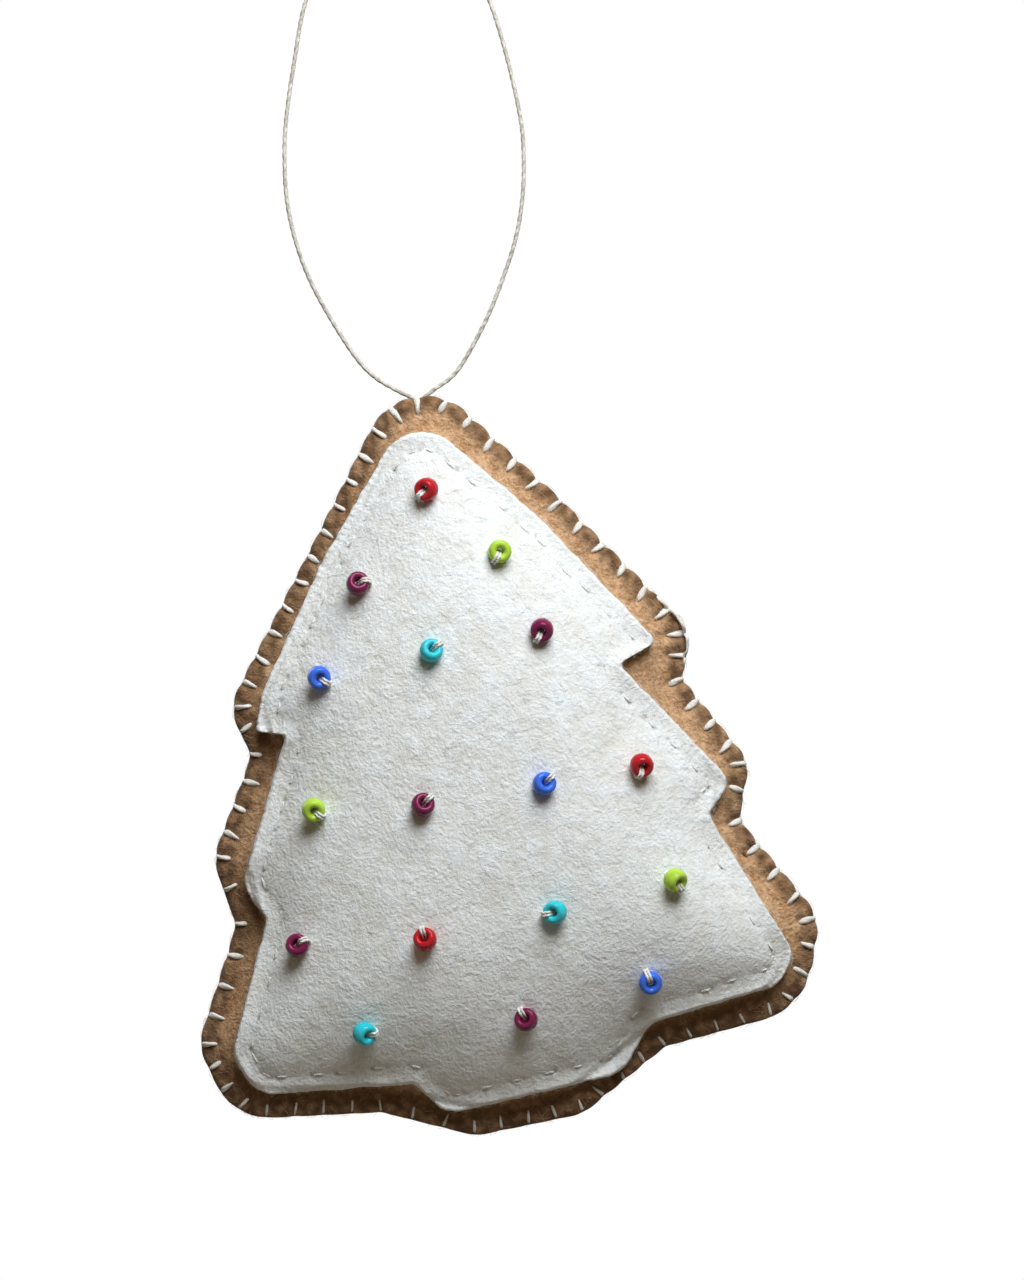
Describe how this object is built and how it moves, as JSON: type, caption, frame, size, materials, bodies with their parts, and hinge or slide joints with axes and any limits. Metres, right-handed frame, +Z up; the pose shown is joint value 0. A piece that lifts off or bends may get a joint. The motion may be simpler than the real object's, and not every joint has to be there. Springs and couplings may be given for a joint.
{
  "type": "hanging felt ornament",
  "caption": "Stuffed felt tree ornament with a blanket-stitched edge, a stitched-on felt icing panel and sewn-on glass seed beads, hung by a cord loop.",
  "frame": {"origin": "top of the hanging loop, where it bends over the hook", "axes": "+Z up; -Y is the front, with the icing panel and beads; +X is to the right as seen from the front"},
  "size_m": [0.0813, 0.0234, 0.1648],
  "materials": {
    "brown_felt": "matt wool-blend felt",
    "white_felt": "matt wool-blend felt",
    "filling": "loose polyester fibre",
    "cream_thread": "stranded cotton, slight sheen",
    "white_thread": "sewing thread, slight sheen",
    "cord": "thin waxed flax cord",
    "glass_red": "opaque gloss",
    "glass_lime": "opaque gloss",
    "glass_plum": "opaque gloss",
    "glass_teal": "opaque gloss",
    "glass_blue": "opaque gloss"
  },
  "bodies": {
    "loop": {"hanging_cord": "cord"},
    "tree": {"back_felt": "brown_felt", "bead_01_red": "glass_red", "bead_02_lime": "glass_lime", "bead_03_plum": "glass_plum", "bead_04_blue": "glass_blue", "bead_05_teal": "glass_teal", "bead_06_plum": "glass_plum", "bead_07_red": "glass_red", "bead_08_blue": "glass_blue", "bead_09_plum": "glass_plum", "bead_10_lime": "glass_lime", "bead_11_plum": "glass_plum", "bead_12_red": "glass_red", "bead_13_teal": "glass_teal", "bead_14_lime": "glass_lime", "bead_15_blue": "glass_blue", "bead_16_plum": "glass_plum", "bead_17_teal": "glass_teal", "bead_thread": "white_thread", "cord_knot": "cord", "edge_thread": "cream_thread", "filling": "filling", "front_felt": "brown_felt", "icing_felt": "white_felt"}
  },
  "joints": [
    {"name": "tree_swing", "type": "hinge", "parent": "loop", "child": "tree", "pos_m": [0.0035, 0, -0.0685], "axis": [0, 1, 0], "range_deg": [-15, 29]}
  ]
}
